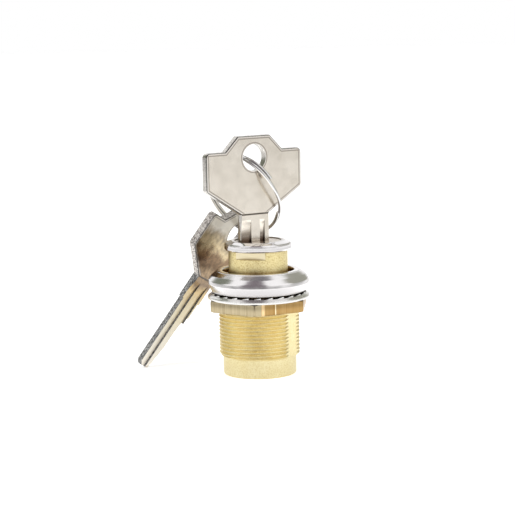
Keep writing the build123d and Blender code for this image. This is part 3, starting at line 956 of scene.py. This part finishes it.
# %% Cap
CAP_R = cap_high.x
CAP_TOP = cap_high.z
CAP_HOLE = 6.3
CAP_SECTION = rounded(
    [
        (PLUNGER_R, cap_low.z, 0.05),
        (CAP_R - 0.3, cap_low.z, 0.12),
        (CAP_R, cap_low.z + 0.42, 0.2),
        (CAP_R, CAP_TOP - 1.0, 0.06),
        (CAP_R - 0.15, CAP_TOP - 0.92, 0.04),
        (CAP_R - 0.08, CAP_TOP - 0.8, 0.06),
        (CAP_R - 0.28, CAP_TOP - 0.56, 0.2),
        (CAP_R - 1.4, CAP_TOP - 0.13, 0.3),
        (CAP_R - 1.8, CAP_TOP, 0.3),
        (CAP_HOLE, CAP_TOP, 0.12),
        (CAP_HOLE, PLUNGER_TOP, 0),
        (PLUNGER_R, PLUNGER_TOP, 0),
    ]
)
CHROME_CAP = chrome_polished("chrome_cap", CAP_HOLE, soft=1.4, inside=(0.22, 0.17, 0.12), gloss=(0.06, 0.17))
cap = turned("cap_polished", CAP_SECTION, 192, CHROME_CAP)
stand_for(cap, "face_cap")

# %% [markdown]
# ## Return spring
# A coil spring has to shorten when the plunger is pushed in, and a rigid piece cannot. It is made as a mesh: a circle
# of points carried along a helix. The half turn at each end lies flat, as on a real compression spring.

# %% Return spring
spring_low, spring_high = box_mm("return_spring")
SPRING_WIRE_R = 0.25
SPRING_COIL_R = 5.5
SPRING_TURNS = 4
SPRING_STEPS = 48
SPRING_SIDES = 10
SPRING_FLAT = 0.5
SPRING_SHARP = math.radians(60)


def spring_mesh():
    """Points and faces of the coiled wire, with a cap on each end."""
    count = SPRING_TURNS * SPRING_STEPS
    vertices, faces = [], []
    for k in range(count + 1):
        angle = 2 * math.pi * k / SPRING_STEPS
        share = min(max((k / SPRING_STEPS - SPRING_FLAT) / (SPRING_TURNS - 2 * SPRING_FLAT), 0.0), 1.0)
        middle = spring_low.z + SPRING_WIRE_R + (spring_high.z - spring_low.z - 2 * SPRING_WIRE_R) * share
        for j in range(SPRING_SIDES):
            out, up = at_angle(SPRING_WIRE_R, 2 * math.pi * j / SPRING_SIDES)
            vertices.append((*at_angle(SPRING_COIL_R + out, angle), middle + up))
    for k in range(count):
        for j in range(SPRING_SIDES):
            here, there = k * SPRING_SIDES, (k + 1) * SPRING_SIDES
            beside = (j + 1) % SPRING_SIDES
            faces.append((here + j, there + j, there + beside, here + beside))
    last = count * SPRING_SIDES
    return vertices, [*faces, tuple(range(SPRING_SIDES)), tuple(range(last, last + SPRING_SIDES))]


spring = finish_mesh("spring_coil", *spring_mesh(), PIN_STEEL, SPRING_SHARP)
stand_for(spring, "return_spring")
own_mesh(spring)

# %% [markdown]
# ## Lock washer
# The washer is a dished ring whose inner edge is cut into teeth, each twisted so that it bites under the flange. The
# ring is turned. A tooth is a box between its root and its tip, and the tip is twisted further, as the press does it.

# %% Lock washer
washer_low, washer_high = box_mm("lock_washer")
WASHER_R = washer_high.x
WASHER_BORE = 12.5
WASHER_EDGE = 0.72
WASHER_RIM = 0.8
WASHER_RISE = 1.3
WASHER_SECTION = rounded(
    [
        (WASHER_BORE, washer_low.z, 0.1),
        (WASHER_R, washer_low.z, 0.18),
        (WASHER_R, washer_low.z + WASHER_EDGE, 0.25),
        (WASHER_R - WASHER_RIM, washer_low.z + WASHER_RISE, 0.2),
        (WASHER_BORE, washer_low.z + WASHER_RISE, 0.1),
    ]
)
TOOTH_COUNT = 25
TOOTH_TURN = math.radians(-91.8)
TOOTH_ROOT_TWIST = math.radians(12)
TOOTH_TIP_TWIST = math.radians(20)
TOOTH_IN, TOOTH_OUT = 11.3, 12.95
TOOTH_WIDTH = 1.9
TOOTH_THICK = 0.45
TOOTH_HEIGHT = -0.586
TOOTH_EDGE = 0.08
TOOTH_SIDES = ((0, 3, 2, 1), (4, 5, 6, 7), (0, 1, 5, 4), (1, 2, 6, 5), (2, 3, 7, 6), (3, 0, 4, 7))


def tooth_points(angle):
    """One tooth as eight corners. The press twists its tip further than its root."""
    corners = []
    for x, twist in ((TOOTH_IN, TOOTH_TIP_TWIST), (TOOTH_OUT, TOOTH_ROOT_TWIST)):
        for across, up in ((-1, -1), (1, -1), (1, 1), (-1, 1)):
            y, z = spun(across * TOOTH_WIDTH / 2, up * TOOTH_THICK / 2, twist)
            corners.append((*spun(x, y, angle), z + TOOTH_HEIGHT))
    return corners


washer = turned("washer_ring", WASHER_SECTION, 150, WASHER_STEEL)
tooth_vertices, tooth_faces = [], []
for k in range(TOOTH_COUNT):
    first = len(tooth_vertices)
    tooth_vertices += tooth_points(TOOTH_TURN + 2 * math.pi * k / TOOTH_COUNT)
    tooth_faces += [tuple(first + corner for corner in side) for side in TOOTH_SIDES]
teeth = finish_mesh("washer_teeth", tooth_vertices, tooth_faces, WASHER_STEEL)
soften = teeth.modifiers.new("soften", "BEVEL")
soften.width = TOOTH_EDGE * MM
soften.segments = 2
stand_for(washer, "lock_washer")
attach(teeth, "washer_body")
print("washer teeth:", TOOTH_COUNT)

# %% [markdown]
# ## Nut
# The nut is a thin hexagon. Its corners are turned off by a cone on both faces, which leaves the curved edge that every
# real nut has. A bevel would be as wide along the flats as at the corners, so the outline is not allowed past the cone.

# %% Nut
nut_low, nut_high = box_mm("hex_nut")
NUT_HALF = 12.5
NUT_TURN = math.radians(-4.8)
NUT_CORNER_R = NUT_HALF / math.cos(math.pi / 6)
NUT_FACE_R = 14.0
NUT_BORE = 11.05
NUT_BEVEL = 0.3
NUT_SLOPE = NUT_BEVEL / (NUT_CORNER_R - NUT_FACE_R)
NUT_LEAD = 0.4
NUT_BLUNT = 0.03
NUT_ROUND = 0.02


def nut_outline(angle):
    """Section of the hexagon at an angle, with both faces turned off by a cone."""
    from_face = (angle - NUT_TURN + math.pi / 6) % (math.pi / 3) - math.pi / 6
    reach = min(NUT_HALF / math.cos(from_face), NUT_CORNER_R - NUT_BLUNT)
    face = min(reach - 2 * NUT_ROUND, NUT_FACE_R)
    drop = max((reach - face) * NUT_SLOPE, NUT_ROUND)
    return [
        (NUT_BORE, nut_low.z + NUT_LEAD),
        (NUT_BORE + NUT_LEAD, nut_low.z),
        (face, nut_low.z),
        (reach - NUT_ROUND, nut_low.z + drop - NUT_ROUND / 2),
        (reach, nut_low.z + drop + NUT_BLUNT),
        (reach, nut_high.z - drop - NUT_BLUNT),
        (reach - NUT_ROUND, nut_high.z - drop + NUT_ROUND / 2),
        (face, nut_high.z),
        (NUT_BORE + NUT_LEAD, nut_high.z),
        (NUT_BORE, nut_high.z - NUT_LEAD),
    ]


nut = turned("nut_milled", nut_outline, 360, BRASS_NUT)
stand_for(nut, "hex_nut")

# %% [markdown]
# ## Split ring
# A split ring is one springy wire wound twice, with a step where it passes from one coil to the other. A curve with a
# round bevel is the right tool for wire: its points are worked out round the circle and its ends are capped.

# %% Split ring
RING_R = 11.64
RING_WIRE = 1.0
RING_LEVEL = 0.51
RING_STEP = math.radians(25)
RING_POINTS = 96
STEP_POINTS = 12
ring_centre = Vector(joints["ring_spin"]["pos_m"]) / MM
ring_axis = Vector(joints["ring_spin"]["axis"]).normalized()
ring_along = Vector((-ring_axis.y, ring_axis.x, 0)).normalized()
ring_across = ring_axis.cross(ring_along)


def ring_point(angle, level):
    """A point on the ring's wire in the model's millimetres."""
    flat = ring_along * math.cos(angle) + ring_across * math.sin(angle)
    return ring_centre + flat * RING_R + ring_axis * level


def ring_path():
    """First coil, step and second coil as one line of points."""
    round_coil = 2 * math.pi - 2 * RING_STEP
    coil = [RING_STEP + round_coil * k / RING_POINTS for k in range(RING_POINTS + 1)]
    between = [-RING_STEP + 2 * RING_STEP * k / STEP_POINTS for k in range(1, STEP_POINTS)]
    climb = [ring_point(angle, RING_LEVEL * math.sin(math.pi / 2 * angle / RING_STEP)) for angle in between]
    lower, upper = ([ring_point(angle, level) for angle in coil] for level in (-RING_LEVEL, RING_LEVEL))
    return lower + climb + upper


ring_curve = bpy.data.curves.new("ring_wire", "CURVE")
ring_curve.dimensions = "3D"
ring_curve.bevel_depth = RING_WIRE / 2 * MM
ring_curve.bevel_resolution = 5
ring_curve.use_fill_caps = True
ring_spline = ring_curve.splines.new("POLY")
ring_places = ring_path()
ring_spline.points.add(len(ring_places) - 1)
for point, place in zip(ring_spline.points, ring_places):
    point.co = (*(place * MM), 1)
ring_spline.use_smooth = True
ring_curve.materials.append(RING_STEEL)
ring = in_scene("ring_wire", ring_curve)
stand_for(ring, "key_ring")

# %% [markdown]
# ## Keys and core
# The keys' own solids already have the grip, the grooves with the cutter's run-out and the cuts, so they stay. A
# stamped key has no knife edges, so a bevel softens them. The faces are first welded together, because a bevel needs
# edges that two faces share.


# %% Keys and core
FLAT_ENOUGH = 0.999
KEY_EDGE = 0.12
EDGE_LIMIT = math.radians(28)


def soften_edges(node, facing):
    """Welds a model node's faces and rounds its edges. Only modifiers are added. Flat sides stay flat."""
    piece = nodes[node]
    for polygon in piece.data.polygons:
        polygon.use_smooth = abs(polygon.normal.dot(Vector(facing))) < FLAT_ENOUGH
    weld = piece.modifiers.new("weld", "WELD")
    weld.merge_threshold = WELD
    soften = piece.modifiers.new("soften", "BEVEL")
    soften.width = KEY_EDGE * MM
    soften.segments = 3
    soften.limit_method = "ANGLE"
    soften.angle_limit = EDGE_LIMIT
    soften.harden_normals = True


def paint(node, material):
    """Gives a model node its finish."""
    piece = nodes[node]
    piece.data.materials.clear()
    piece.data.materials.append(material)


spare_joint = joints["spare_swing"]
MAIN_FACING = (math.sin(KEY_TURN), -math.cos(KEY_TURN), 0.0)
KEY_OFFSET = 1.3
CORE_SUNK = 0.2
NECK_LENGTH = 7.4
grip_foot = CAP_TOP - CORE_SUNK + NECK_LENGTH
MAIN_FOOT = (*at_angle(-KEY_OFFSET, KEY_TURN), grip_foot)
SPARE_POSE = [math.radians(angle) for angle in (27.6, 23.0, 61.9)]
spare_turn = Euler(SPARE_POSE, "XYZ").to_matrix()
spare_facing = tuple(spare_turn @ Vector((0, 1, 0)))
spare_up = tuple(spare_turn @ Vector(UPWARD))
spare_foot = tuple(Vector(spare_joint["pos_m"]) / MM - GRIP_HOLE_HEIGHT * Vector(spare_up))
# Painted reflections on the old key: bands of tint along its height, and how metallic it is there.
SPARE_REFLECTION_BANDS = {
    "tints": [
        (0.0, (1.0, 0.97, 0.94)),
        (0.3, (1.0, 0.97, 0.88)),
        (0.45, (1.0, 0.93, 0.72)),
        (0.54, (0.98, 0.78, 0.46)),
        (0.58, (0.34, 0.26, 0.20)),
        (0.62, (0.52, 0.39, 0.26)),
        (0.67, (0.22, 0.14, 0.08)),
        (0.73, (0.34, 0.23, 0.14)),
        (0.77, (0.92, 0.78, 0.52)),
        (0.80, (0.50, 0.42, 0.30)),
        (0.84, (1.0, 0.98, 0.92)),
    ],
    "metal": [(0.0, 0.15), (0.52, 0.15), (0.58, 0.9), (0.74, 0.9), (0.84, 0.1)],
}
print("spare key faces", [round(v, 2) for v in spare_facing], "joint axis", spare_joint["axis"])
KEY_NICKEL = nickel_stamped("key_nickel", MAIN_FACING, UPWARD, MAIN_FOOT)
SPARE_NICKEL = nickel_stamped("spare_nickel", spare_facing, spare_up, spare_foot, SPARE_REFLECTION_BANDS)
for node, material, facing in (
    ("main_key", KEY_NICKEL, MAIN_FACING),
    ("spare_key", SPARE_NICKEL, spare_facing),
    ("core", CORE_METAL, UPWARD),
):
    soften_edges(node, facing)
    paint(node, material)

for node in ("guide_pin", "bolt_pin", "latch_pawl"):
    paint(node, PIN_STEEL)
for node in ("latch_spring", "wafer_springs"):
    paint(node, RING_STEEL)
for number in range(1, 7):
    paint(f"wafer_{number}", BRASS)

# %% [markdown]
# ## Floor
# The lock stands on a white table. The camera sees it plain white with the lock's shadow. Metal sees it in tones that
# change with the distance, because a real table is not lit the same all over.

# %% Floor
FLOOR_HALF = 3.0
floor_mesh = bpy.data.meshes.new("floor")
floor_z = BARREL_LOW * MM
floor_mesh.from_pydata(
    [(x * FLOOR_HALF, y * FLOOR_HALF, floor_z) for x, y in ((-1, -1), (1, -1), (1, 1), (-1, 1))],
    [],
    [(0, 1, 2, 3)],
)
floor = in_scene("floor", floor_mesh)

FLOOR_TONES = [
    (0.0, 0.59), (0.035, 0.62), (0.055, 0.95), (0.1, 1.0), (0.14, 0.62),
    (0.24, 0.54), (0.32, 0.69), (0.5, 0.72), (0.7, 0.42), (1.0, 0.28),
]
FLOOR_REACH = 1.0
FLOOR_GLOW = 1.6
FLOOR_LIFT = 0.4


def floor_paint():
    """White table that takes the shadow. What metal sees of it glows by itself, in tones by the distance."""
    material, tree, shader = started("table_white")
    by_camera = add(tree, "ShaderNodeLightPath").outputs["Is Camera Ray"]
    wire(shader, Base_Color=(0.9, 0.9, 0.9), Roughness=0.6)
    wire(shader, Emission_Color=WHITE, Emission_Strength=times(tree, by_camera, FLOOR_LIFT))
    reach = vectors(tree, "LENGTH", coordinates(tree))
    tone = ramp(tree, maths(tree, "DIVIDE", reach, FLOOR_REACH), FLOOR_TONES)
    seen = add(tree, "ShaderNodeEmission", {"Color": tone, "Strength": FLOOR_GLOW}).outputs[0]
    pick = add(tree, "ShaderNodeMixShader", {0: by_camera, 1: seen, 2: shader.outputs[0]})
    wire(tree.nodes["Material Output"], Surface=pick.outputs[0])
    return material


floor_mesh.materials.append(floor_paint())
print("floor at", round(BARREL_LOW, 1), "mm")

# %% [markdown]
# ## Studio and lamps
# Polished metal is only as good as what it reflects, so the studio round the lock is not plain: soft bright sides with
# a darker gap towards the camera. It is painted on the sky in bands, which is simpler than building its walls. Camera
# rays see plain white.

# %% Studio and lamps
ZENITH = (0.19, 0.18, 0.19)
FRONT_GAP = (0.20, 0.175, 0.19)
LEFT_GAP = (0.20, 0.215, 0.17)
RIGHT_WALL = (0.34, 0.34, 0.29)
UPPER_WALL = [
    (0.0, FRONT_GAP), (0.10, FRONT_GAP), (0.14, 1.0), (0.39, 1.0), (0.43, 0.22),
    (0.57, 0.22), (0.61, 1.0), (0.93, 1.0), (0.96, FRONT_GAP), (1.0, FRONT_GAP),
]
MIDDLE_WALL = [
    (0.0, FRONT_GAP), (0.10, FRONT_GAP), (0.14, 1.0), (0.23, 1.0), (0.26, LEFT_GAP), (0.365, LEFT_GAP),
    (0.40, 0.95), (0.54, 0.95), (0.57, RIGHT_WALL), (0.75, RIGHT_WALL), (0.785, 1.0), (0.93, 1.0),
    (0.96, FRONT_GAP), (1.0, FRONT_GAP),
]
LOWER_WALL = [
    (0.0, 0.18), (0.17, 0.18), (0.22, 0.5), (0.33, 0.55), (0.38, 1.0),
    (0.62, 1.0), (0.67, 0.55), (0.78, 0.5), (0.80, 0.8), (0.84, 0.8), (0.87, 0.18), (1.0, 0.18),
]
LOWER_EDGE = (0.03, 0.13)
UPPER_EDGE = (0.76, 0.84)
CEILING_EDGE = (0.94, 0.97)
STUDIO_LEVEL = 1.15


def studio():
    """
    White room for the camera. For metal it has a dark gap in front, a bright soft box on each side of it, grey walls
    at the sides, a white back and a dark ceiling.
    """
    world = bpy.data.worlds.new("studio")
    bpy.context.scene.world = world
    world.use_nodes = True
    tree = world.node_tree
    parts = add(tree, "ShaderNodeSeparateXYZ", {"Vector": coordinates(tree, "Generated")})
    sideways, forward, upward = parts.outputs
    share = step(tree, maths(tree, "ARCTAN2", sideways, forward), -math.pi, math.pi)
    lower, middle, upper = (ramp(tree, share, wall) for wall in (LOWER_WALL, MIDDLE_WALL, UPPER_WALL))
    walls = mixed(tree, step(tree, upward, *LOWER_EDGE), lower, middle)
    walls = mixed(tree, step(tree, upward, *UPPER_EDGE), walls, upper)
    room = mixed(tree, step(tree, upward, *CEILING_EDGE), walls, ZENITH)
    lit = mixed(tree, 1.0, room, (STUDIO_LEVEL, STUDIO_LEVEL, STUDIO_LEVEL), "MULTIPLY")
    by_camera = add(tree, "ShaderNodeLightPath").outputs["Is Camera Ray"]
    wire(tree.nodes["Background"], Color=mixed(tree, by_camera, lit, WHITE), Strength=1.0)


studio()


def soft_light(name, place, size, power):
    """A large square lamp aimed at the lock. Metal sees the room's bright sides instead of the lamp itself."""
    lamp_data = bpy.data.lights.new(name, "AREA")
    lamp_data.size = size
    lamp_data.energy = power
    lamp = in_scene(name, lamp_data)
    lamp.location = place
    lamp.rotation_euler = (Vector(ORIGIN) - Vector(place)).to_track_quat("-Z", "Y").to_euler()
    lamp.visible_glossy = False
    print(name, power, "W")


soft_light("key_light", (-0.5, -0.4, 0.7), size=0.5, power=4.0)
soft_light("fill_light", (0.6, -0.3, 0.5), size=0.5, power=3.0)
